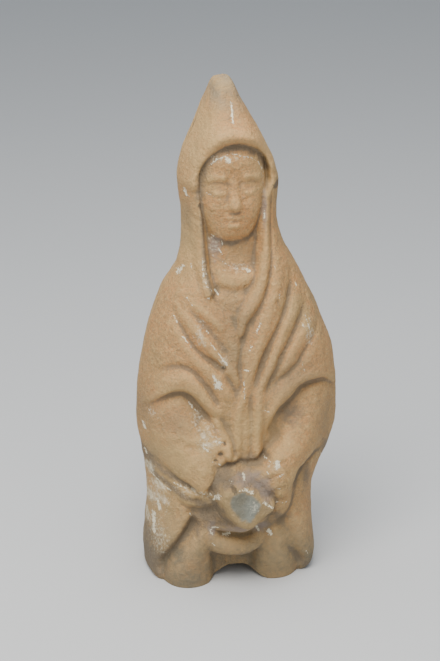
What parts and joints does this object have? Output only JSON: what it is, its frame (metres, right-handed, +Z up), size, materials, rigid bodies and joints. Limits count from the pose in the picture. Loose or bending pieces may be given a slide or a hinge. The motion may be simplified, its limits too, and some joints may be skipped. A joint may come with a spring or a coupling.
{
  "type": "hooded terracotta figurine",
  "caption": "Squatting figure in a pointed hood and folded cloak, hands in its lap on a broken-off stub; flat base, plain back.",
  "frame": {"origin": "on the ground under the middle of the figurine's box", "axes": "+Z up along the figurine, its front faces -Y, its own right hand is towards -X"},
  "size_m": [0.0502, 0.0356, 0.125],
  "materials": {
    "terracotta": "matt fired clay, pale orange brown, worn, with white lime specks and a grey core in the break"
  },
  "bodies": {
    "root": {"figurine": "terracotta"}
  },
  "joints": []
}
